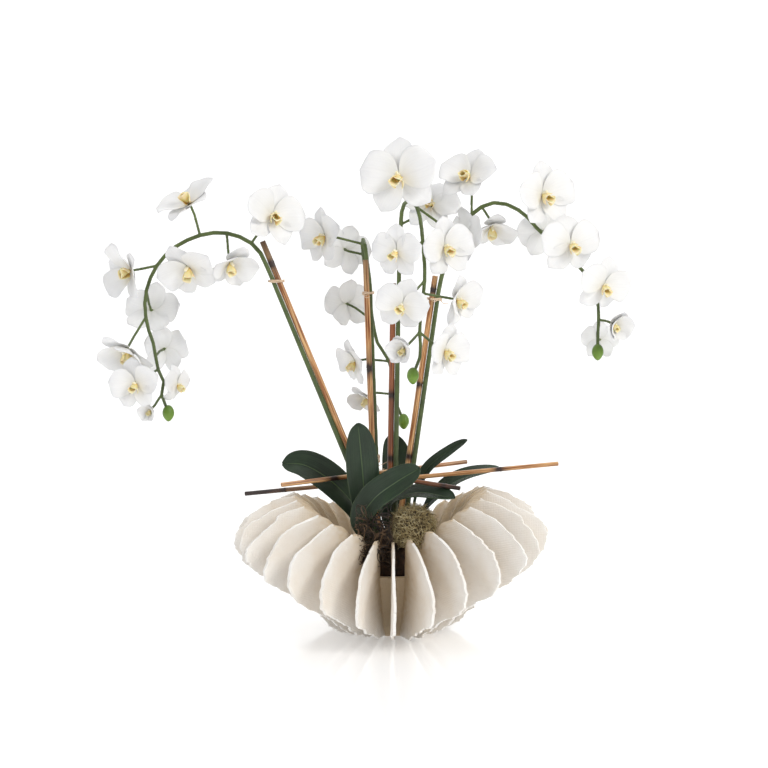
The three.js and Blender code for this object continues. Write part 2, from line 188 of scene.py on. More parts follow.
def streaks_of(tree, uv, across, along, detail):
    """Noise stretched along V, with its blobs per unit across and along."""
    drawn = add(tree, "ShaderNodeMapping", {"Vector": uv, "Scale": (across, along, 1.0)}).outputs[0]
    return speckle(tree, drawn, 1.0, detail)


# %% [markdown]
# ## Camera, floor and light
# The plant stands on a white sweep and is seen from almost level through a long lens. The
# sweep is one floor plane whose far edge is pulled up into a wall. The light is a broad soft
# box at the upper right, weaker ones at the left and overhead, and a bright white room.

# %% Camera
LENS = 93.75
DISTANCE = 2.8
TILT = math.radians(6)

camera_data = bpy.data.cameras.new("camera")
camera_data.sensor_width = 36
camera_data.lens = LENS
camera = bpy.data.objects.new("camera", camera_data)
bpy.context.scene.collection.objects.link(camera)
aim = Vector((-0.010, 0.0, 0.348))
camera.location = aim + DISTANCE * Vector((0, -math.cos(TILT), math.sin(TILT)))
camera.rotation_euler = (math.radians(90) - TILT, 0, 0)
bpy.context.scene.camera = camera
bpy.context.scene.view_settings.view_transform = "Standard"

# %% White sweep
SWEEP_SIZE = 12
WALL_HEIGHT = 6

bpy.ops.object.select_all(action="DESELECT")
bpy.ops.mesh.primitive_plane_add(size=SWEEP_SIZE, location=(0, -2, 0))
sweep = bpy.context.object
bpy.ops.object.mode_set(mode="EDIT")
bpy.ops.mesh.select_mode(type="EDGE")
bpy.ops.mesh.select_all(action="DESELECT")
bpy.ops.object.mode_set(mode="OBJECT")
for edge in sweep.data.edges:
    ends = [sweep.data.vertices[i].co.y for i in edge.vertices]
    edge.select = min(ends) > 5
bpy.ops.object.mode_set(mode="EDIT")
bpy.ops.mesh.extrude_region_move(TRANSFORM_OT_translate={"value": (0, 0, WALL_HEIGHT)})
bpy.ops.object.mode_set(mode="OBJECT")
apply_modifier(sweep, "BEVEL", width=1.5, segments=10, limit_method="ANGLE")
smooth(sweep, 60)
sweep.name = "white_sweep"
floor_paint, tree, shader = new_material("white_painted_sweep", Roughness=0.14)
shader.inputs["Base Color"].default_value = linear("#FAFAFA")
shader.inputs["Specular IOR Level"].default_value = 0.75
shader.inputs["Emission Color"].default_value = linear("#FFFFFF")
coords = object_coords(tree)
height = add(tree, "ShaderNodeSeparateXYZ", {0: coords}).outputs["Z"]
rise = {"Value": height, "From Max": 1.5, "To Min": 0.22, "To Max": 0.75}
glow = add(tree, "ShaderNodeMapRange", rise).outputs[0]
tree.links.new(glow, shader.inputs["Emission Strength"])
sweep.data.materials.append(floor_paint)

# %% Soft boxes and room
LIT_SPOT = (0, 0, 0.3)


def soft_box(name, place, size, power, colour):
    light = bpy.data.lights.new(name, "AREA")
    light.size = size
    light.energy = power
    light.color = linear(colour)[:3]
    lamp = bpy.data.objects.new(name, light)
    lamp.location = place
    lamp.rotation_euler = (Vector(LIT_SPOT) - Vector(place)).to_track_quat("-Z", "Y").to_euler()
    bpy.context.scene.collection.objects.link(lamp)


soft_box("key_box", (2.5, -2.6, 2.5), 1.7, 78, "#FFFDF9")
soft_box("fill_box", (-2.4, -1.6, 1.6), 1.6, 16, "#FBFCFF")
soft_box("top_box", (0.2, 0.6, 2.6), 1.8, 14, "#FFFFFF")
world = bpy.data.worlds.new("white_room")
world.use_nodes = True
background = world.node_tree.nodes["Background"]
background.inputs["Color"].default_value = linear("#FFFFFF")
background.inputs["Strength"].default_value = 0.50
bpy.context.scene.world = world

# %% [markdown]
# ## Petals
# A moth orchid flower has three sepals at the back, two broad petals in front of them, a
# yellow three-lobed lip and a short column. A petal could be sculpted, but its shape follows
# simple rules: a rounded outline, a slight cup, a curl at the tip and a ruffled edge. So each
# one is a grid whose points are moved by those rules, then thickened and subdivided.

# %% Petal finish: soft white, faint veins that fan out from the claw, a thin grey edge of painted shade
petal_skin, tree, shader = new_material("white_orchid_petal", Roughness=0.5)
uv = own_uv(tree)
split = add(tree, "ShaderNodeSeparateXYZ", {0: uv})
veins = streaks_of(tree, uv, 22.0, 1.8, 3.0)
from_claw = [(0.0, "#DDDEBE"), (0.14, "#E9E8E3"), (0.5, "#EDEDED"), (1.0, "#EAEAEB")]
base = ramp(tree, split.outputs["Y"], from_claw)
veiny = mix(tree, ramp(tree, veins, [(0.45, "#000000"), (0.64, "#5A5A5A")]), base, "#CFCFD2")
# The grey band along both long edges is painted shade, the darkening that a thin petal edge shows.
off_middle = calc(tree, "ABSOLUTE", calc(tree, "SUBTRACT", split.outputs["X"], 0.5))
edge = ramp(tree, off_middle, [(0.43, "#000000"), (0.5, "#808080")])
wire(tree, shader, mix(tree, edge, veiny, "#C2C2C6"), veins, 0.0005, 0.6)
shader.inputs["Subsurface Weight"].default_value = 0.2
shader.inputs["Subsurface Radius"].default_value = (0.9, 0.85, 0.75)
shader.inputs["Subsurface Scale"].default_value = 0.002

# %% Lip finish: butter yellow, orange-brown streaks in the throat
lip_skin, tree, shader = new_material("yellow_orchid_lip", Roughness=0.45)
uv = own_uv(tree)
split = add(tree, "ShaderNodeSeparateXYZ", {0: uv})
from_throat = [(0.0, "#B8702A"), (0.16, "#E0B04A"), (0.42, "#F0DC96"), (1.0, "#FAF3D6")]
base = ramp(tree, split.outputs["Y"], from_throat)
streaks = streaks_of(tree, uv, 14.0, 3.0, 2.0)
fade = calc(tree, "SUBTRACT", 0.5, split.outputs["Y"], clamp=True)
strength = calc(tree, "MULTIPLY", fade, 1.5, clamp=True)
marks = calc(tree, "MULTIPLY", calc(tree, "GREATER_THAN", streaks, 0.58), strength)
wire(tree, shader, mix(tree, marks, base, "#9C4A22"), streaks, 0.0003, 0.4)
shader.inputs["Subsurface Weight"].default_value = 0.2
shader.inputs["Subsurface Scale"].default_value = 0.002

# %% Column finish: cream, with a fine grain
column_skin, tree, shader = new_material("cream_orchid_column", Roughness=0.4)
coords = object_coords(tree)
grain = speckle(tree, coords, 500.0)
wire(tree, shader, ramp(tree, grain, [(0.35, "#EFE3B4"), (0.65, "#F8F3E2")]), grain, 0.0002)

# %% One petal
def petal(length, half_width, widest, claw, cup, curl, ruffle, seed, rows=14, columns=10):
    """A petal along +Y from its claw, flat in XY, for a flower of radius 1.

    Across the petal u runs from -1 to 1, and from its claw to its tip v runs from 0 to 1.
    """
    bpy.ops.object.select_all(action="DESELECT")
    bpy.ops.mesh.primitive_grid_add(x_subdivisions=columns, y_subdivisions=rows, size=2)
    obj = bpy.context.object
    skew = math.log(0.5) / math.log(widest)
    bow = 0.05 * math.sin(seed * 2.7)
    for vertex in obj.data.vertices:
        u = vertex.co.x
        v = 0.5 - 0.5 * math.cos(math.pi * (vertex.co.y + 1) / 2)
        middle_out = abs(2 * max(v, 1e-6) ** skew - 1)
        round_off = (1 - middle_out ** 2.3) ** 0.47 if 0 < v < 1 else 0.0
        width = half_width * max(round_off, claw * (1 - v) ** 3, 0.02)
        width *= 1 + 0.035 * math.sin(9 * v + seed) * (1 if u > 0 else -1)
        x = u * width + bow * v * v
        y = length * (v - 0.07 * u * u * v * v)
        wave = ruffle * abs(u) ** 3 * math.sin(8.5 * v + seed * 1.9 + (2.0 if u > 0 else 0.0))
        z = cup * (u * width / half_width) ** 2 + curl * v * v
        z = z - 0.10 * max(0.0, v - 0.7) ** 2 * 8 + wave * v
        z += 0.035 * noise.noise(Vector((x * 3.1, y * 3.1, seed * 1.7)))
        z -= 0.02 * math.exp(-(u * 8) ** 2) * (1 - v)
        vertex.co = (x, y, z)
    return obj


def thicken(obj, depth):
    apply_modifier(obj, "SOLIDIFY", thickness=depth, offset=0)
    apply_modifier(obj, "SUBSURF", levels=1, render_levels=1)
    for polygon in obj.data.polygons:
        polygon.use_smooth = True


def place_petal(obj, heading, lift, out, rise):
    """Turn a petal to its heading round the flower and tip it forward by lift degrees."""
    turn = Matrix.Rotation(math.radians(heading - 90), 4, "Z")
    tip = Matrix.Rotation(math.radians(lift), 4, "X")
    obj.data.transform(turn @ Matrix.Translation((0, out, rise)) @ tip)
    return obj


# %% [markdown]
# The lip is small but it is what the eye goes to. Its middle lobe points down and forward and
# ends in an arrow shape, its two side lobes stand up like wings beside the column, and an
# orange callus sits between them. The column is a stub with a rounded cap.

# %% Lip and column
def lip_lobe(length, half_width, widest, cup, curl, seed):
    """A small petal with a narrow claw and hardly any ruffle."""
    return petal(length, half_width, widest, 0.25, cup, curl, 0.02, seed, rows=8, columns=6)


def make_lip():
    parts = []
    middle = lip_lobe(0.46, 0.18, 0.60, 0.12, 0.14, 1)
    thicken(middle, 0.018)
    parts.append(place_petal(middle, 270, 46, 0.03, 0.05))
    for side in (-1, 1):
        wing = lip_lobe(0.38, 0.19, 0.62, 0.14, 0.12, 2 + side)
        thicken(wing, 0.016)
        wing.data.transform(Matrix.Rotation(math.radians(side * 58), 4, "Y"))
        parts.append(place_petal(wing, 270 + side * 62, 58, 0.04, 0.04))
    callus = {"radius": 0.05, "location": (0, -0.09, 0.13)}
    bpy.ops.mesh.primitive_uv_sphere_add(segments=12, ring_count=8, **callus)
    parts.append(bpy.context.object)
    for part in parts:
        part.data.materials.append(lip_skin)
    pick(parts[-1])
    bpy.ops.object.transform_apply()
    return parts


def make_column():
    parts = []
    bpy.ops.mesh.primitive_uv_sphere_add(segments=14, ring_count=10, radius=0.055)
    stub = bpy.context.object
    lean = Matrix.Rotation(math.radians(-14), 4, "X")
    stub.data.transform(Matrix.Translation((0, 0.02, 0.1)) @ lean @ Matrix.Diagonal((0.95, 1.0, 2.2, 1)))
    parts.append(stub)
    bpy.ops.mesh.primitive_uv_sphere_add(segments=12, ring_count=8, radius=0.048)
    cap = bpy.context.object
    flat = Matrix.Diagonal((1.0, 1.1, 0.8, 1))
    cap.data.transform(Matrix.Translation((0, 0.045, 0.205)) @ flat)
    parts.append(cap)
    for part in parts:
        part.data.materials.append(column_skin)
        smooth(part, 60)
    return parts


# %% [markdown]
# Six flowers are modelled once, from swept back through wide open and cupped to half open. Every
# bloom on the plant is a copy of one of them with its own mesh.

# %% Stem finish: satin green skin, paler and yellower towards the tips
stem_skin, tree, shader = new_material("satin_green_stem", Roughness=0.42)
coords = object_coords(tree)
height = add(tree, "ShaderNodeSeparateXYZ", {0: coords}).outputs["Z"]
patch = speckle(tree, coords, 60.0, 4.0)
rise = {"Value": height, "From Min": 0.15, "From Max": 0.60}
level = add(tree, "ShaderNodeMapRange", rise).outputs[0]
base = ramp(tree, level, [(0.0, "#37422B"), (0.45, "#46552B"), (1.0, "#55652F")])
fleck = ramp(tree, patch, [(0.35, "#3A4526"), (0.7, "#6E7F44")])
wire(tree, shader, mix(tree, 0.35, base, fleck), patch, 0.0003, 0.6)

# %% The model flowers
PETAL_THICKNESS = 0.015  # of the flower's radius


def model_flower(name, lifts, sepal_curl, petal_cup, seed, ruffle=0.05):
    """Lifts: degrees forward of the sepals, the left petal and the right petal."""
    parts = []
    for heading, width, extra in ((91, 0.37, 0), (232, 0.36, 1), (309, 0.36, 2)):
        sepal = petal(0.93, width, 0.54, 0.3, 0.06, sepal_curl, 0.03, seed + extra)
        thicken(sepal, PETAL_THICKNESS)
        lean = lifts[0] + 5 * math.sin(seed * 1.3 + extra * 2.1)
        parts.append(place_petal(sepal, heading + 4 * math.sin(seed + extra), lean, 0.03, -0.02))
    for heading, lean in ((164, lifts[1]), (16, lifts[2])):
        broad = petal(0.97, 0.54, 0.58, 0.16, petal_cup, 0.03, ruffle, seed + heading)
        thicken(broad, PETAL_THICKNESS)
        parts.append(place_petal(broad, heading + 3 * math.sin(seed), lean, 0.02, 0.012))
    for part in parts:
        part.data.materials.append(petal_skin)
    parts += make_lip()
    parts += make_column()
    cone = {"radius1": 0.036, "radius2": 0.075, "depth": 0.075}
    bpy.ops.mesh.primitive_cone_add(vertices=12, location=(0, 0, -0.036), **cone)
    foot = bpy.context.object
    pick(foot)
    bpy.ops.object.transform_apply()
    foot.data.materials.append(stem_skin)
    parts.append(foot)
    flower = join(parts)
    flower.name = name
    print(name, len(flower.data.polygons), "faces")
    return flower


models = {
    "open": model_flower("model_open", (2, 6, 2), -0.06, 0.06, 1),
    "broad": model_flower("model_broad", (-4, 2, 9), -0.10, 0.10, 5),
    "cupped": model_flower("model_cupped", (10, 18, 14), 0.04, 0.14, 3),
    "swept": model_flower("model_swept", (-8, -4, 4), -0.12, -0.04, 9, 0.07),
    "deep": model_flower("model_deep", (16, 36, 30), 0.02, 0.16, 7, 0.06),
    "half_open": model_flower("model_half_open", (38, 50, 50), 0.18, 0.26, 13),
}

# %% [markdown]
# The CAD bloom is a thin five-lobed disc with a low cone for its lip. Its cone's top and its
# back's middle give the line it looks along, and its two longest lobes, the broad petals, lie
# level, so their mean points up. That is all a copy needs to take its place.

# %% Where each bloom sits
def bloom_pose(node):
    points = corners(node)
    middle = points.mean(axis=0)
    _, _, axes = np.linalg.svd(points - middle)
    heights = (points - middle) @ axes[2]
    look = axes[2] if heights.max() > -heights.min() else -axes[2]
    heights = (points - middle) @ look
    top, back = points[heights.argmax()], points[heights.argmin()]
    look = (top - back) / np.linalg.norm(top - back)
    flat = (points - top) - np.outer((points - top) @ look, look)
    reach = np.linalg.norm(flat, axis=1)
    radius = reach.max()
    up = flat[reach > 0.985 * radius].mean(axis=0)
    up /= np.linalg.norm(up)
    side = np.cross(up, look)
    centre = top - look * 0.26 * radius
    pose = Matrix((
        (side[0], up[0], look[0], centre[0]),
        (side[1], up[1], look[1], centre[1]),
        (side[2], up[2], look[2], centre[2]),
        (0, 0, 0, 1),
    ))
    return pose, radius


BLOOM_BEND = 0.13  # how far a copy's rim strays from its model
flower_nodes = sorted(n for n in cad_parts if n.startswith("flower_"))
special = {
    "half_open": ("left_11", "right_08", "front_04"),
    "deep": ("left_05", "left_07", "left_02", "front_07", "right_03", "back_05"),
    "cupped": ("left_01", "left_03", "left_04", "left_09", "right_01", "right_02", "right_04",
               "back_01", "back_04", "front_08"),
    "swept": ("left_06", "right_06", "back_03", "left_10"),
    "broad": ("front_01", "front_03", "right_07", "left_08", "right_05"),
}
kinds = {"flower_" + name: kind for kind, names in special.items() for name in names}
for number, node in enumerate(flower_nodes):
    pose, radius = bloom_pose(node)
    kind = kinds.get(node, "open")
    bloom = models[kind].copy()
    bloom.data = models[kind].data.copy()
    bpy.context.scene.collection.objects.link(bloom)
    for vertex in bloom.data.vertices:
        spot = vertex.co * 1.3 + Vector((number * 7.3, 0, 0))
        vertex.co.z += BLOOM_BEND * vertex.co.xy.length_squared * noise.noise(spot)
    bloom.data.transform(pose @ Matrix.Scale(radius, 4))
    bloom.name = "bloom_" + node.removeprefix("flower_")
    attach(bloom, "root")
    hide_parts(node)
for model in models.values():
    bpy.data.objects.remove(model)
print("blooms:", len(flower_nodes))

# %% [markdown]
# ## Stems and buds
# A stem with its flower stalks is one grown piece. The CAD stem is six-sided, so a merged copy
# is remeshed in small cubes and smoothed, which rounds the bar and swells the skin where a
# stalk leaves it, as on the real plant.

# %% Stems
def copy_of(node, name):
    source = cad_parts[node]
    obj = bpy.data.objects.new(name, source.data.copy())
    bpy.context.scene.collection.objects.link(obj)
    pick(obj)
    bpy.ops.object.mode_set(mode="EDIT")
    bpy.ops.mesh.select_all(action="SELECT")
    bpy.ops.mesh.remove_doubles(threshold=0.00002)
    bpy.ops.object.mode_set(mode="OBJECT")
    return obj


BUD_REACH = 0.0125
BUD_LENGTH = 0.0235
bud_zone = {
    "left": lambda p: p[:, 0] < -0.25, "right": lambda p: p[:, 0] > 0.25,
    "front": lambda p: p[:, 1] < -0.07, "back": lambda p: p[:, 1] > 0.07,
}


def bud_place(side):
    """Middle and downward direction of the bud that hangs at the end of a stem."""
    points = corners("spike_" + side)
    points = points[bud_zone[side](points)]
    tip = points[points[:, 2].argmin()]
    near = points[np.linalg.norm(points - tip, axis=1) < BUD_LENGTH]
    middle = Vector((near.max(axis=0) + near.min(axis=0)) / 2)
    return middle, (Vector(tip) - middle).normalized()


for side in ("left", "back", "front", "right"):
    stem = copy_of("spike_" + side, "stem")
    apply_modifier(stem, "REMESH", mode="VOXEL", voxel_size=0.0009)
    apply_modifier(stem, "SMOOTH", factor=0.5, iterations=16)
    middle, _ = bud_place(side)
    for vertex in stem.data.vertices:
        away = vertex.co - middle
        if away.length < BUD_REACH:
            vertex.co = middle + away * 0.75
    apply_modifier(stem, "DISPLACE", strength=0.0010, mid_level=0.0)
    smooth(stem, 80)
    settle(stem, "stem_" + side, stem_skin, "flower_stem", "spike_" + side)
    print("stem", side, len(stem.data.polygons), "faces")

# %% [markdown]
# A closed bud is a pointed egg with three shallow seams where its sepals meet. A sphere is
# squeezed at its tip and its skin is pulled in along three lines.

# %% Buds
bud_skin, tree, shader = new_material("lime_green_bud", Roughness=0.4)
uv = own_uv(tree)
split = add(tree, "ShaderNodeSeparateXYZ", {0: uv})
coords = object_coords(tree)
blotch = speckle(tree, coords, 160.0, 3.0)
from_stalk = [(0.0, "#324A14"), (0.35, "#527422"), (0.75, "#6B8D2D"), (1.0, "#3A5219")]
base = ramp(tree, split.outputs["Y"], from_stalk)
blotched = mix(tree, calc(tree, "MULTIPLY", blotch, 0.5), base, "#82A33E")
wire(tree, shader, blotched, blotch, 0.0004, 0.5)
shader.inputs["Subsurface Weight"].default_value = 0.15
shader.inputs["Subsurface Scale"].default_value = 0.002

BUD_RADIUS = 8.2 * MM
BUD_HALF_LENGTH = 11.6 * MM
for side in bud_zone:
    middle, down = bud_place(side)
    bpy.ops.object.select_all(action="DESELECT")
    bpy.ops.mesh.primitive_uv_sphere_add(segments=36, ring_count=22, radius=1)
    bud = bpy.context.object
    for vertex in bud.data.vertices:
        x, y, z = vertex.co
        angle = math.atan2(y, x)
        seam = 1 - 0.10 * math.exp(-(math.sin(1.5 * angle) / 0.16) ** 2)
        slim = 1 - 0.30 * max(0.0, z) ** 1.6
        vertex.co = (x * seam * slim, y * seam * slim, z)
    size = Matrix.Diagonal((BUD_RADIUS, BUD_RADIUS, BUD_HALF_LENGTH, 1))
    turn = down.to_track_quat("Z", "Y").to_matrix().to_4x4()
    bud.data.transform(Matrix.Translation(Vector(middle)) @ turn @ size)
    smooth(bud, 80)
    settle(bud, "bud_" + side, bud_skin, "flower_stem")
    print("bud", side, [round(v, 3) for v in middle])

# %% [markdown]
# ## Bamboo
# A cane is a tube with ridged nodes. The skin near a node is scorched dark, and fine fibres
# run along it. Each cane is a cylinder that is cut across at its nodes in edit mode, with the
# cut rings resized. Its ends are inset and pushed in, because a cut cane is hollow.

# %% Bamboo finish
def bamboo_skin(name, light, mid, dark):
    material, tree, shader = new_material(name, Roughness=0.34)
    uv = own_uv(tree)
    fibres = streaks_of(tree, uv, 16.0, 14.0, 5.0)
    clouds = streaks_of(tree, uv, 2.0, 16.0, 3.0)
    base = ramp(tree, fibres, [(0.34, dark), (0.43, mid), (0.56, light)])
    warm = mix(tree, ramp(tree, clouds, [(0.42, "#000000"), (0.7, "#B0B0B0")]), base, dark)
    burn = add(tree, "ShaderNodeAttribute", attribute_name="burn").outputs["Fac"]
    patchy = calc(tree, "MULTIPLY", burn, calc(tree, "ADD", clouds, 0.62), clamp=True)
    wire(tree, shader, mix(tree, patchy, warm, "#2A150D"), fibres, 0.0003, 0.5)
    shader.inputs["Coat Weight"].default_value = 0.25
    shader.inputs["Coat Roughness"].default_value = 0.3
    return material


tan_cane = bamboo_skin("tan_bamboo", "#E6B880", "#A8642E", "#6E3A18")
red_cane = bamboo_skin("reddish_bamboo", "#A8653A", "#87482A", "#5C2E1B")
dark_cane = bamboo_skin("smoked_bamboo", "#8E5A38", "#6B3D25", "#3C2016")

# %% One cane
def cane_ends(node):
    """The middles of a cane's end faces: its foot, then its tip, which is higher or to the right."""
    points = corners(node)
    middle = points.mean(axis=0)
    _, _, axes = np.linalg.svd(points - middle)
    line = axes[0]
    rises = line[2] > 0
    nearly_level = abs(line[2]) < 0.3
    if not (rises or nearly_level and line[0] > 0):
        line = -line
    along = (points - middle) @ line
    foot = points[along < along.min() + 0.0001]
    tip = points[along > along.max() - 0.0001]
    return Vector(foot.mean(axis=0)), Vector(tip.mean(axis=0))


def make_cane(foot, tip, radius, nodes, scorch, seed):
    length = (tip - foot).length
    bpy.ops.object.select_all(action="DESELECT")
    place = (0, 0, length / 2)
    bpy.ops.mesh.primitive_cylinder_add(vertices=24, radius=radius, depth=length, location=place)
    cane = bpy.context.object
    bpy.ops.object.transform_apply()
    bpy.ops.object.mode_set(mode="EDIT")
    cuts = [length * k / 14 for k in range(1, 14)]
    for node in nodes:
        cuts += [length * node + d * MM for d in (-9, -4, -2.2, -1.2, 0, 1.2, 2.2, 4, 9)]
    for cut in sorted(cuts):
        if 0 < cut < length:
            bpy.ops.mesh.select_all(action="SELECT")
            bpy.ops.mesh.bisect(plane_co=(0, 0, cut), plane_no=(0, 0, 1))
    bpy.ops.mesh.select_all(action="DESELECT")
    bpy.ops.mesh.select_mode(type="FACE")
    bpy.ops.object.mode_set(mode="OBJECT")
    for face in cane.data.polygons:
        face.select = abs(face.normal.z) > 0.9
    bpy.ops.object.mode_set(mode="EDIT")
    bpy.ops.mesh.inset(thickness=radius * 0.42, depth=0, use_individual=True)
    bpy.ops.mesh.inset(thickness=0.0001, depth=-0.006, use_individual=True)
    bpy.ops.object.mode_set(mode="OBJECT")
    burn = cane.data.attributes.new("burn", "FLOAT", "POINT")
    rng = random.Random(seed)
    reach = [rng.uniform(0.004, 0.011) for _ in nodes]
    bow = rng.uniform(-1, 1) * 0.9 * MM
    for index, vertex in enumerate(cane.data.vertices):
        x, y, z = vertex.co
        scale, dark = 1.0 - 0.05 * z / length, 0.0
        for node, spread in zip(nodes, reach):
            away = z - length * node
            ridge = 0.10 * math.exp(-(away / 0.0022) ** 2)
            groove = 0.10 * math.exp(-((away + 0.0012) / 0.0007) ** 2)
            scale += ridge - groove
            scale += 0.035 * math.exp(-(away / 0.010) ** 2)
            dark = max(dark, math.exp(-((away + 0.001) / spread) ** 2))
        for end, (depth, spread) in scorch.items():
            away = z if end == "foot" else length - z
            dark = max(dark, depth * math.exp(-(away / spread) ** 2))
        wobble = bow * math.sin(math.pi * z / length)
        vertex.co = (x * scale + wobble, y * scale, z)
        burn.data[index].value = min(1.0, dark)
    uv = cane.data.uv_layers.active or cane.data.uv_layers.new(name="UVMap")
    for face in cane.data.polygons:
        heading = math.atan2(face.center.y, face.center.x)
        for loop in face.loop_indices:
            x, y, z = cane.data.vertices[cane.data.loops[loop].vertex_index].co
            angle = math.atan2(y, x)
            angle += 2 * math.pi * round((heading - angle) / (2 * math.pi))
            uv.data[loop].uv = (angle / (2 * math.pi) + seed * 0.37, z + seed)
    turn = (tip - foot).to_track_quat("Z", "Y").to_matrix().to_4x4()
    cane.data.transform(Matrix.Translation(foot) @ turn)
    smooth(cane, 45)
    return cane


# A cane's nodes are shares of its length. A scorched end has its depth from 0 to 1 and its
# spread in metres.
STAKE_RADIUS = 4.2 * MM
STICK_RADIUS = 3.2 * MM
canes = {
    "stake_left": (tan_cane, (0.32, 0.93), {"tip": (0.8, 0.05)}),
    "stake_back": (tan_cane, (0.28, 0.62), {"tip": (0.6, 0.03)}),
    "stake_front": (red_cane, (0.34, 0.58), {"foot": (0.9, 0.10), "tip": (0.4, 0.02)}),
    "stake_right": (tan_cane, (0.33, 0.6, 0.95), {}),
    "cross_stick_long": (tan_cane, (0.13, 0.82), {"foot": (1.0, 0.10)}),
    "cross_stick_back": (tan_cane, (0.28, 0.62), {"tip": (0.5, 0.02)}),
    "cross_stick_short": (dark_cane, (0.8,), {"tip": (0.9, 0.03)}),
}
for seed, (node, (skin, nodes, scorch)) in enumerate(canes.items()):
    foot, tip = cane_ends(node)
    radius = STAKE_RADIUS if node.startswith("stake") else STICK_RADIUS
    cane = make_cane(foot, tip, radius, nodes, scorch, seed + 1)
    settle(cane, "bamboo_" + node, skin, "bamboo", node)
    print(node, "length", round((tip - foot).length, 3))

# %% [markdown]
# ## Leaves
# A moth orchid leaf is a thick strap with a folded midrib, a rounded tip with a tiny notch and
# a satin skin. It is made like a petal: a grid bent along a curve. The curve's points are the
# ones the CAD leaf follows, in millimetres.

# %% Leaf finish: very dark green with fine veins, a painted highlight along the midrib and a paler margin
leaf_skin, tree, shader = new_material("satin_dark_green_leaf", Roughness=0.27)
uv = own_uv(tree)
split = add(tree, "ShaderNodeSeparateXYZ", {0: uv})
veins = streaks_of(tree, uv, 60.0, 2.0, 3.0)
coords = object_coords(tree)
cloud = speckle(tree, coords, 22.0, 3.0)
base = ramp(tree, cloud, [(0.3, "#0E1812"), (0.55, "#17281C"), (0.8, "#263A22")])
veined = mix(tree, calc(tree, "MULTIPLY", veins, 0.26), base, "#5B7050")
middle = calc(tree, "ABSOLUTE", calc(tree, "SUBTRACT", split.outputs["X"], 0.5))
# A thin paler stripe down the middle is a painted highlight on the midrib's fold.
midrib_highlight = calc(tree, "LESS_THAN", middle, 0.018)
with_midrib_highlight = mix(tree, calc(tree, "MULTIPLY", midrib_highlight, 0.4), veined, "#5C7346")
margin = ramp(tree, middle, [(0.465, "#000000"), (0.5, "#909090")])
wire(tree, shader, mix(tree, margin, with_midrib_highlight, "#4F6238"), veins, 0.0008, 0.5)
shader.inputs["Specular IOR Level"].default_value = 0.34

# %% One leaf
def curve_points(stops, count):
    """Even points on a smooth curve through the stops."""
    stops = [Vector(s) * MM for s in stops]
    ends = [2 * stops[0] - stops[1]] + stops + [2 * stops[-1] - stops[-2]]
    fine = []
    for i in range(1, len(ends) - 2):
        a, b, c, d = ends[i - 1:i + 3]
        bend = 2 * a - 5 * b + 4 * c - d
        twist = 3 * b - a - 3 * c + d
        for k in range(24):
            t = k / 24
            fine.append(0.5 * ((2 * b) + (c - a) * t + bend * t * t + twist * t ** 3))
    fine.append(stops[-1])
    lengths = [0.0]
    for p, q in zip(fine, fine[1:]):
        lengths.append(lengths[-1] + (q - p).length)
    points, j = [], 0
    for k in range(count):
        wanted = lengths[-1] * k / (count - 1)
        while j < len(fine) - 2 and lengths[j + 1] < wanted:
            j += 1
        share = (wanted - lengths[j]) / max(1e-9, lengths[j + 1] - lengths[j])
        points.append(fine[j].lerp(fine[j + 1], share))
    return points


LEAF_THICKNESS = 1.5 * MM


def make_leaf(spine, width, face, slim, seed):
    """A leaf along its spine. Up to the share slim of its length it is only a narrow stalk."""
    rows, columns = 36, 14
    points = curve_points(spine, rows + 1)
    face = Vector(face).normalized()
    bpy.ops.object.select_all(action="DESELECT")
    bpy.ops.mesh.primitive_grid_add(x_subdivisions=columns, y_subdivisions=rows, size=2)
    leaf = bpy.context.object
    for vertex in leaf.data.vertices:
        s = vertex.co.x
        row = round((vertex.co.y + 1) / 2 * rows)
        t = row / rows
        ahead, behind = points[min(rows, row + 1)], points[max(0, row - 1)]
        tangent = (ahead - behind).normalized()
        side = face.cross(tangent).normalized()
        normal = tangent.cross(side)
        opened = min(1.0, max(0.0, t - slim) / (0.6 - slim))
        neck = 0.2 + 0.8 * math.sin(opened * math.pi / 2)
        end = math.sqrt(max(0.0, 1.0 - (max(0.0, t - 0.6) / 0.4) ** 2.6))
        half = width / 2 * MM * max(neck * end, 0.05)
        notch = 1.6 * MM * math.exp(-(s * 5) ** 2) * max(0.0, t - 0.9) / 0.1
        wave = 1.6 * MM * abs(s) ** 2 * math.sin(7 * t + seed * 2.1 + (1.3 if s > 0 else 0))
        lift = 0.30 * half * (abs(s) ** 1.15) + wave - 0.8 * MM * math.exp(-(s * 9) ** 2)
        vertex.co = points[row] + side * s * half + normal * lift - tangent * notch
    apply_modifier(leaf, "SOLIDIFY", thickness=LEAF_THICKNESS, offset=0)
    apply_modifier(leaf, "SUBSURF", levels=1, render_levels=1)
    smooth(leaf, 80)
    return leaf


# Each leaf has its spine and width in millimetres, the way its upper side faces, and slim.
leaves = {
    "upright": (
        [(-34, -32, 128), (-37, -36, 190), (-41, -43, 245), (-46, -50, 300)],
        46, (0.1, -1, 0.15), 0),
    "left": (
        [(-38, 4, 126), (-48, 8, 168), (-82, 15, 206), (-122, 21, 230), (-155, 22, 232)],
        46, (0, -0.85, 0.5), 0),
    "arching": (
        [(-24, -43, 126), (-40, -60, 164), (-24, -70, 196), (6, -75, 220), (40, -78, 241)],
        44, (-0.35, -0.85, 0.45), 0),
    "low_right": (
        [(-4, -21, 130), (-3, -18, 176), (34, -38, 200), (88, -64, 196)],
        36, (0.1, -0.45, 0.85), 0.1),
    "far_right": (
        [(40, 20, 126), (48, 20, 168), (92, 24, 206), (156, 22, 226)],
        38, (-0.2, -0.3, 0.9), 0.22),
    "narrow": (
        [(26, 6, 126), (36, 18, 190), (52, 22, 226), (84, 12, 254), (107, 0, 270)],
        17, (-0.4, -0.9, 0.3), 0.35),
    "rear": (
        [(4, 44, 126), (9, 54, 190), (8, 66, 235), (0, 72, 268)],
        44, (0, -1, 0.2), 0),
}
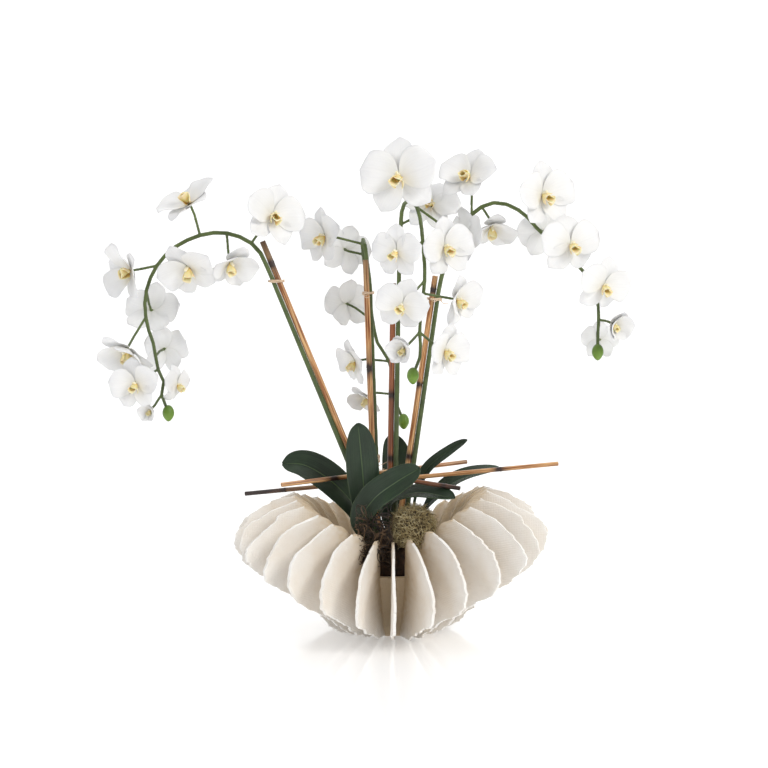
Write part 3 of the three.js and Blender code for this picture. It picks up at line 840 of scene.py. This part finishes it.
for seed, (name, (spine, width, face, slim)) in enumerate(leaves.items()):
    leaf = make_leaf(spine, width, face, slim, seed)
    settle(leaf, "strap_leaf_" + name, leaf_skin, "leaf", "leaf_" + name)
print("leaves:", len(leaves))

# %% [markdown]
# ## The finned bowl
# The bowl is cast in an off-white, plaster-like body. Each fin is a thin, slightly warped
# plate with a broken rim, and a woven mould has left its mark in the surface. A fin is a grid
# stretched between its inner edge and its outer edge, whose points are the CAD fin's, in
# millimetres outwards and up. A fin between the ends and the front has an outline between
# theirs. Waves of four sizes break the rim.

# %% Cast finish, with painted shade deepening from the fins' rims down to their roots and the cup
bowl_skin, tree, shader = new_material("off_white_cast_plaster", Roughness=0.85)
uv = own_uv(tree)
rim = add(tree, "ShaderNodeAttribute", attribute_name="rim").outputs["Fac"]
coords = object_coords(tree)
cloud = speckle(tree, coords, 26.0, 5.0)
# The ramp from the fins' roots to their rims is painted shade: warm tan where the recesses between fins
# lie in shade, near white at the rim.
painted_shade_to_rim = [(0.0, "#D9C6A9"), (0.3, "#E9DFD1"), (0.7, "#F1EBE3"), (0.97, "#F5F1EB"), (1.0, "#F9F7F3")]
base = ramp(tree, rim, painted_shade_to_rim)
stain = mix(tree, ramp(tree, cloud, [(0.42, "#000000"), (0.72, "#8A8A8A")]), base, "#D9C4A4")
threads = {"Vector": uv, "Scale": 130.0, "Distortion": 1.5, "Detail": 1.0}
warp = add(tree, "ShaderNodeTexWave", threads, bands_direction="X").outputs["Fac"]
weft = add(tree, "ShaderNodeTexWave", threads, bands_direction="Y").outputs["Fac"]
weave = calc(tree, "MULTIPLY", calc(tree, "ADD", warp, weft), 0.25)
grit = speckle(tree, coords, 260.0, 6.0)
relief = calc(tree, "ADD", weave, calc(tree, "MULTIPLY", grit, 0.8))
wire(tree, shader, stain, relief, 0.0011, 0.5)

# %% One fin
end_fin = [(48, 0), (81, 8), (111, 33), (135, 60), (171, 85), (203, 105), (219, 124), (219, 143),
           (204, 162), (186, 175), (160, 189), (136, 196)]
front_fin = [(48, 0), (84, 3), (112, 11), (140, 20), (166, 28), (190, 37), (195, 50), (195, 68),
             (186, 88), (168, 106), (138, 122), (104, 132)]
end_inner = [(46, 2), (50, 12), (63, 45), (74.5, 88), (90, 140), (112, 180), (136, 196)]
front_inner = [(46, 2), (50, 12), (63, 45), (74.5, 88), (77, 134), (90, 137), (104, 132)]
FINS = 28
FIN_THICKNESS = 3.7 * MM
FIN_ROWS = 90
FIN_COLUMNS = 14


def outline(ends, fronts, share, lift, number, wavy):
    """An edge between that of an end fin (share 1) and that of the front fin (share 0)."""
    stops = []
    for i, (end, front) in enumerate(zip(ends, fronts)):
        free = 1 if wavy and i > 1 else 0
        wave = free * (2.2 * math.sin(number * 2.3 + i * 1.7) + 1.6 * math.sin(number * 5.1))
        out = front[0] + (end[0] - front[0]) * share + wave
        up = front[1] + (end[1] * lift - front[1]) * share + wave * 0.6
        stops.append((out, 0, up))
    return curve_points(stops, FIN_ROWS + 1)


def chipped(outer, number):
    """How far the rim strays outwards at each row."""
    chips = []
    for row, point in enumerate(outer):
        spot = point * 1000
        chip = 6.0 * noise.noise(spot * 0.03 + Vector((0, number * 9.1, 0)))
        chip += 3.6 * noise.noise(spot * 0.09 + Vector((0, number * 4.7, 0)))
        chip += 2.4 * noise.noise(spot * 0.27 + Vector((0, number * 2.9, 0)))
        chip += 1.2 * noise.noise(spot * 0.9 + Vector((0, number * 6.1, 0)))
        chips.append(chip * MM * min(1.0, row / 6) * min(1.0, (FIN_ROWS - row) / 3))
    return chips


def make_fin(number):
    turn = number / FINS * 2 * math.pi + 0.02
    heading = turn + 0.06 * math.sin(2 * turn) - math.pi / 2
    share = abs(math.cos(heading)) ** 1.5
    lift = 1 + 0.03 * math.cos(heading)
    outer = outline(end_fin, front_fin, share, lift, number, True)
    inner = outline(end_inner, front_inner, share, lift, number, False)
    chips = chipped(outer, number)
    bpy.ops.object.select_all(action="DESELECT")
    bpy.ops.mesh.primitive_grid_add(x_subdivisions=FIN_COLUMNS, y_subdivisions=FIN_ROWS, size=2)
    fin = bpy.context.object
    # rim holds each point's share from the fin's root to its rim, which sets the painted recess shade.
    rim = fin.data.attributes.new("rim", "FLOAT", "POINT")
    for index, vertex in enumerate(fin.data.vertices):
        q = (vertex.co.x + 1) / 2
        row = round((vertex.co.y + 1) / 2 * FIN_ROWS)
        point = inner[row].lerp(outer[row], q)
        outward = outer[row] - inner[row]
        if outward.length > 1e-6:
            point += outward.normalized() * chips[row] * q ** 8
        height = point.z
        bend = 5.0 * MM * q * noise.noise(Vector((point.x * 9, number * 3.3, height * 9)))
        bend += 0.5 * MM * noise.noise(Vector((point.x * 60, number * 7.7, height * 60)))
        vertex.co = (point.x, bend, height)
        ragged = 0.25 * noise.noise(point * 180 + Vector((0, number, 0)))
        rim.data[index].value = min(1.0, max(0.0, q + ragged * (1 - q)))
    apply_modifier(fin, "SOLIDIFY", thickness=FIN_THICKNESS, offset=0)
    for face in fin.data.polygons:
        for loop in face.loop_indices:
            x, y, z = fin.data.vertices[fin.data.loops[loop].vertex_index].co
            fin.data.uv_layers.active.data[loop].uv = (x, z + number * 0.31)
    fin.data.transform(Matrix.Rotation(heading, 4, "Z"))
    return fin


fins = [make_fin(number) for number in range(FINS)]
print("fins:", len(fins), "faces each:", len(fins[0].data.polygons))

# %% [markdown]
# The fins grow out of a small cup that holds the growing bed. Its wall is one ring of points
# spun round the upright axis. The cup joins the fins into one piece.

# %% Cup
cup_wall = [(0, 0), (49, 0), (57, 20), (67, 50), (78, 88), (75, 89.5), (72, 88), (60, 50),
            (50, 18), (0, 18)]
mesh = bpy.data.meshes.new("cup")
wall_points = [(r * MM, 0, z * MM) for r, z in cup_wall]
wall_edges = [(i, i + 1) for i in range(len(cup_wall) - 1)]
mesh.from_pydata(wall_points, wall_edges, [])
cup = bpy.data.objects.new("cup", mesh)
bpy.context.scene.collection.objects.link(cup)
pick(cup)
bpy.ops.object.mode_set(mode="EDIT")
bpy.ops.mesh.select_all(action="SELECT")
bpy.ops.mesh.spin(steps=56, angle=2 * math.pi, center=(0, 0, 0), axis=(0, 0, 1))
bpy.ops.mesh.select_all(action="SELECT")
bpy.ops.mesh.remove_doubles(threshold=0.00001)
bpy.ops.mesh.normals_make_consistent(inside=False)
bpy.ops.object.mode_set(mode="OBJECT")
# The cup's rim share stays 0, so the cup takes the darkest painted shade.
cup.data.attributes.new("rim", "FLOAT", "POINT")
cup.data.uv_layers.new(name="UVMap")
bowl = join(fins + [cup])
smooth(bowl, 40)
settle(bowl, "finned_bowl", bowl_skin, "cast_bowl", "fin_bowl")
print("bowl faces:", len(bowl.data.polygons))

# %% [markdown]
# ## Growing bed, moss and roots
# The bed is a low mound of dark bark. The moss ball is a tangle of dry strands, so it is made
# of many short bent strands over a dark core of painted shade. The roots are thin, stiff and curled.

# %% Bark, root and moss finishes
bark_skin, tree, shader = new_material("dark_bark", Roughness=0.9)
coords = object_coords(tree)
cloud = speckle(tree, coords, 140.0, 6.0)
bark = ramp(tree, cloud, [(0.35, "#1C130D"), (0.6, "#3E2B1D"), (0.8, "#6A4E36")])
wire(tree, shader, bark, cloud, 0.002, 0.9)

root_skin, tree, shader = new_material("dry_dark_root", Roughness=0.6)
coords = object_coords(tree)
cloud = speckle(tree, coords, 300.0, 4.0)
tone = add(tree, "ShaderNodeAttribute", attribute_name="tone").outputs["Fac"]
dark = ramp(tree, cloud, [(0.35, "#0E0907"), (0.7, "#2C1F16")])
wire(tree, shader, mix(tree, tone, dark, "#6B5238"), cloud, 0.0005, 0.7)

moss_skin, tree, shader = new_material("dry_straw_moss", Roughness=0.9)
tone = add(tree, "ShaderNodeAttribute", attribute_name="tone").outputs["Fac"]
straw = [(0.0, "#2E2414"), (0.3, "#6E5C36"), (0.62, "#AD9A6C"), (1.0, "#DDD1AA")]
wire(tree, shader, ramp(tree, tone, straw))

# %% Bed
bed = copy_of("growing_bed", "bed")
apply_modifier(bed, "REMESH", mode="VOXEL", voxel_size=0.002)
lumps = bpy.data.textures.new("lumps", "CLOUDS")
lumps.noise_scale = 0.012
apply_modifier(bed, "DISPLACE", texture=lumps, strength=0.002, mid_level=0.8)
smooth(bed, 60)
settle(bed, "bark_bed", bark_skin, "bark_bed", "growing_bed")

# %% Many thin tubes as one mesh
def tube_mesh(name, runs, sides, tones=None):
    """A run is a list of (point, radius), and its tone shades the whole tube."""
    verts, faces, values = [], [], []
    for number, run in enumerate(runs):
        start = len(verts)
        for i, (point, radius) in enumerate(run):
            ahead, behind = run[min(len(run) - 1, i + 1)][0], run[max(0, i - 1)][0]
            tangent = (ahead - behind).normalized()
            side = tangent.orthogonal().normalized()
            up = tangent.cross(side)
            for k in range(sides):
                a = 2 * math.pi * k / sides
                verts.append(point + (side * math.cos(a) + up * math.sin(a)) * radius)
                values.append(tones[number] if tones else 0.5)
        for i in range(len(run) - 1):
            for k in range(sides):
                a, b = start + i * sides + k, start + i * sides + (k + 1) % sides
                faces.append((a, b, b + sides, a + sides))
        faces.append(tuple(start + k for k in reversed(range(sides))))
        faces.append(tuple(start + (len(run) - 1) * sides + k for k in range(sides)))
    mesh = bpy.data.meshes.new(name)
    mesh.from_pydata(verts, [], faces)
    tone = mesh.attributes.new("tone", "FLOAT", "POINT")
    tone.data.foreach_set("value", values)
    obj = bpy.data.objects.new(name, mesh)
    bpy.context.scene.collection.objects.link(obj)
    return obj


# %% Moss
MOSS_STRANDS = 3200
BALL_RADIUS = 31 * MM
rng = random.Random(7)
low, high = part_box("moss_ball")
ball_middle = (Vector(low) + Vector(high)) / 2
strands, tones = [], []
for _ in range(MOSS_STRANDS):
    spot = Vector((rng.gauss(0, 1), rng.gauss(0, 1), rng.gauss(0, 1))).normalized()
    across = spot.orthogonal().normalized()
    across.rotate(Matrix.Rotation(rng.uniform(0, 6.283), 3, spot))
    start = ball_middle + spot * BALL_RADIUS * rng.uniform(0.80, 0.93)
    bend = Vector((rng.gauss(0, 1), rng.gauss(0, 1), rng.gauss(0, 1))) * 0.35
    length = rng.uniform(6, 15) * MM
    outward = rng.uniform(0.05, 0.95)
    run, point = [], start
    for k in range(5):
        heading = across * (1 - outward * 0.5) + spot * outward * (1 - 0.3 * k) + bend * k * 0.4
        heading.normalize()
        run.append((point.copy(), (0.36 - 0.05 * k) * MM))
        point = point + heading * length / 4
    strands.append(run)
    tones.append(min(1.0, max(0.0, rng.gauss(0.60, 0.24))))
moss = tube_mesh("moss_strands", strands, 3, tones)
bpy.ops.object.select_all(action="DESELECT")
# The dark core inside the strands is painted shade, the darkest moss colour where the depth of the tangle
# lies in shade.
shade_core_radius = BALL_RADIUS * 0.9
bpy.ops.mesh.primitive_ico_sphere_add(subdivisions=4, radius=shade_core_radius, location=ball_middle)
shade_core = bpy.context.object
bpy.ops.object.transform_apply()
# The core's tone stays 0, the darkest moss colour, as painted shade.
shade_core.data.attributes.new("tone", "FLOAT", "POINT")
for vertex in shade_core.data.vertices:
    vertex.co += (vertex.co - ball_middle) * 0.08 * noise.noise(vertex.co * 160)
moss = join([moss, shade_core])
settle(moss, "moss_tangle", moss_skin, "moss", "moss_ball")
print("moss strands:", len(strands), "faces:", len(moss.data.polygons))

# %% Curled aerial roots
# A root starts somewhere in the tangle and grows on in short steps. Its heading turns about a
# curl that drifts, and it turns back where it would leave the tangle.
ROOTS = 170
ROOT_STEPS = 14
ROOT_STEP = 3.6 * MM
LOOK_AHEAD = 7.0 * MM
rng = random.Random(21)
low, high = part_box("aerial_roots")
low = Vector(low) - Vector((0, 0.001, 0.012))
high = Vector(high) + Vector((0.006, 0, 0.024))
runs = []
for _ in range(ROOTS):
    share = rng.random()
    point = Vector((
        rng.uniform(low.x, high.x),
        low.y + 0.006 + rng.random() * 0.014 + (1 - share) * 0.010,
        low.z + share * 0.075,
    ))
    heading = Vector((rng.uniform(-0.8, 0.8), rng.uniform(-0.5, 0.3), rng.uniform(-0.2, 1)))
    heading.normalize()
    curl = Vector((rng.gauss(0, 1), rng.gauss(0, 1), rng.gauss(0, 0.6)))
    thick = rng.uniform(0.5, 1.4) * MM
    run = []
    for k in range(ROOT_STEPS):
        run.append((point.copy(), thick * (1 - 0.045 * k)))
        heading = (heading + heading.cross(curl) * 0.30 + Vector((0, 0, -0.04))).normalized()
        drift = Vector((rng.gauss(0, 0.4), rng.gauss(0, 0.4), rng.gauss(0, 0.4)))
        curl = (curl + drift).normalized() * 1.1
        for axis in range(3):
            ahead = point[axis] + heading[axis] * LOOK_AHEAD
            if not low[axis] < ahead < high[axis]:
                heading[axis] *= -0.6
        heading.normalize()
        point = point + heading * ROOT_STEP
    runs.append(run)
roots = tube_mesh("curled_roots", runs, 6, [rng.random() ** 3 for _ in runs])
apply_modifier(roots, "SUBSURF", levels=1, render_levels=1)
smooth(roots, 80)
settle(roots, "curled_roots", root_skin, "aerial_root", "aerial_roots")
print("roots:", len(runs))

# %% [markdown]
# ## Raffia
# A tie is a few turns of flat raffia pulled round the stake and its stem, with a loose end.
# The turns follow an oval round the CAD tie, each a little off the last.

# %% Raffia ties
raffia_skin, tree, shader = new_material("pale_raffia", Roughness=0.75)
coords = object_coords(tree)
fibre = speckle(tree, coords, 700.0, 3.0)
wire(tree, shader, ramp(tree, fibre, [(0.3, "#C9A582"), (0.7, "#EFDCC4")]), fibre, 0.0005, 0.6)
RAFFIA_RADIUS = 0.75 * MM
TAIL_RADIUS = 0.7 * MM
INSET = 0.9 * MM  # from the CAD tie's skin to the middle of the raffia
STEPS_A_TURN = 20


def make_tie(node, turns, spread, tails, seed):
    """Turns of raffia round a CAD tie, and its tails, which are offsets in millimetres."""
    rng = random.Random(seed)
    points = corners(node)
    middle = Vector((points.max(axis=0) + points.min(axis=0)) / 2)
    flat = points[:, :2] - np.array(middle[:2])
    _, _, axes = np.linalg.svd(flat)
    reach = np.abs(flat @ axes.T).max(axis=0)
    long_axis, short_axis = Vector((*axes[0], 0)), Vector((*axes[1], 0))
    steps = STEPS_A_TURN * turns
    radius_long, radius_short = reach[0] - INSET, reach[1] - INSET
    run = []
    for k in range(steps + 1):
        angle = 2 * math.pi * k / STEPS_A_TURN
        rise = spread * (k / steps - 0.5) + 0.4 * MM * math.sin(angle * 2.3 + seed)
        point = middle + long_axis * math.cos(angle) * radius_long
        point = point + short_axis * math.sin(angle) * radius_short + Vector((0, 0, rise))
        run.append((point, RAFFIA_RADIUS))
    runs = [run]
    for tail in tails:
        start = run[rng.randrange(4)][0]
        end = start + Vector(tail) * MM
        sag = Vector((rng.uniform(-2, 2), -2, -3)) * MM
        strand = []
        for k in range(7):
            point = start.lerp(end, k / 6) + sag * math.sin(k / 6 * math.pi)
            strand.append((point, TAIL_RADIUS * (1 - 0.08 * k)))
        runs.append(strand)
    tie = tube_mesh("tie", runs, 6)
    smooth(tie, 60)
    settle(tie, "wrapped_" + node, raffia_skin, "raffia", node)


stake_tails = {
    "left": [(-17, -3, 9)],
    "back": [(9, -6, -3), (10, -5, 4)],
    "front": [(8, -6, -4)],
    "right": [(12, -4, -3), (-9, -5, 2)],
}
for seed, (side, tails) in enumerate(stake_tails.items(), 1):
    make_tie("raffia_tie_" + side, 3, 3.4 * MM, tails, seed)
lashing_tails = [(20, -10, -16), (24, -12, 5), (12, -12, 15), (22, -8, -6), (16, -14, 12)]
make_tie("twine_lashing", 7, 12 * MM, lashing_tails, 5)
